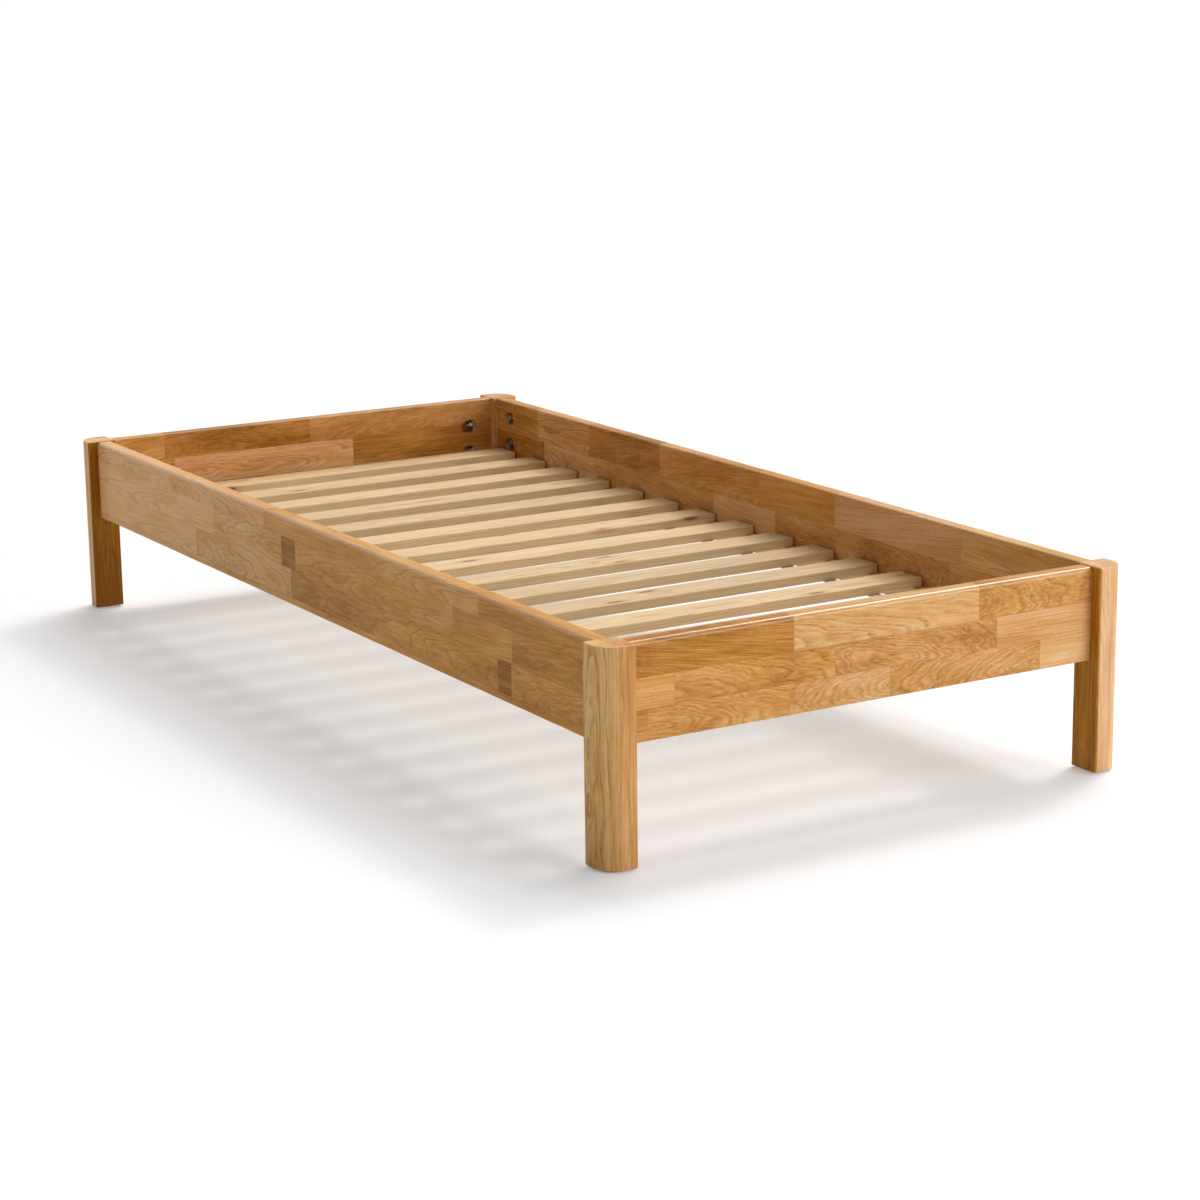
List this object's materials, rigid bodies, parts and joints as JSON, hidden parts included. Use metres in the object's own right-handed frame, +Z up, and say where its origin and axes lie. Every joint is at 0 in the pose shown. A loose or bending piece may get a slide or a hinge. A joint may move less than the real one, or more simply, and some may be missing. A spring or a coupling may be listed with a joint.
{
  "type": "bed frame",
  "caption": "Low single bed frame in light solid wood: corner legs with a rounded outer corner, deep plank rails between them, and a roll-up slatted base that lies loose on ledgers inside.",
  "frame": {"origin": "on the floor under the middle of the bed", "axes": "+X to the bed's right side seen from the foot end, +Y towards the head end, +Z up"},
  "size_m": [1.02, 2.12, 0.355],
  "materials": {
    "oiled_oak": "oiled, satin; edge-glued staves of mixed tone",
    "planed_pine": "planed and sanded, unfinished",
    "woven_webbing": "plain woven cotton webbing, undyed",
    "brown_felt": "pressed wool felt",
    "bright_zinc_steel": "bright zinc plated",
    "yellow_zinc_steel": "yellow zinc plated",
    "beech": "fluted dowel, unfinished"
  },
  "bodies": {
    "bed_frame": {"leg_foot_left": "oiled_oak", "leg_foot_right": "oiled_oak", "leg_head_left": "oiled_oak", "leg_head_right": "oiled_oak", "side_rail_left": "oiled_oak", "side_rail_right": "oiled_oak", "foot_rail": "oiled_oak", "head_rail": "oiled_oak", "ledger_left": "planed_pine", "ledger_right": "planed_pine", "glide_foot_left": "brown_felt", "glide_foot_right": "brown_felt", "glide_head_left": "brown_felt", "glide_head_right": "brown_felt", "glide_nails": "bright_zinc_steel", "leg_inserts": "yellow_zinc_steel", "rail_studs": "bright_zinc_steel", "half_moon_washers": "bright_zinc_steel", "stud_nuts": "bright_zinc_steel", "rail_dowels": "beech", "ledger_screws": "yellow_zinc_steel"},
    "slatted_base": {"slat_01": "planed_pine", "slat_02": "planed_pine", "slat_03": "planed_pine", "slat_04": "planed_pine", "slat_05": "planed_pine", "slat_06": "planed_pine", "slat_07": "planed_pine", "slat_08": "planed_pine", "slat_09": "planed_pine", "slat_10": "planed_pine", "slat_11": "planed_pine", "slat_12": "planed_pine", "slat_13": "planed_pine", "slat_14": "planed_pine", "slat_15": "planed_pine", "webbing_left": "woven_webbing", "webbing_right": "woven_webbing", "webbing_staples": "bright_zinc_steel"}
  },
  "joints": [
    {"name": "slatted_base_lift", "type": "slide", "parent": "bed_frame", "child": "slatted_base", "axis": [0, 0, 1], "range_m": [0, 0.25]}
  ]
}
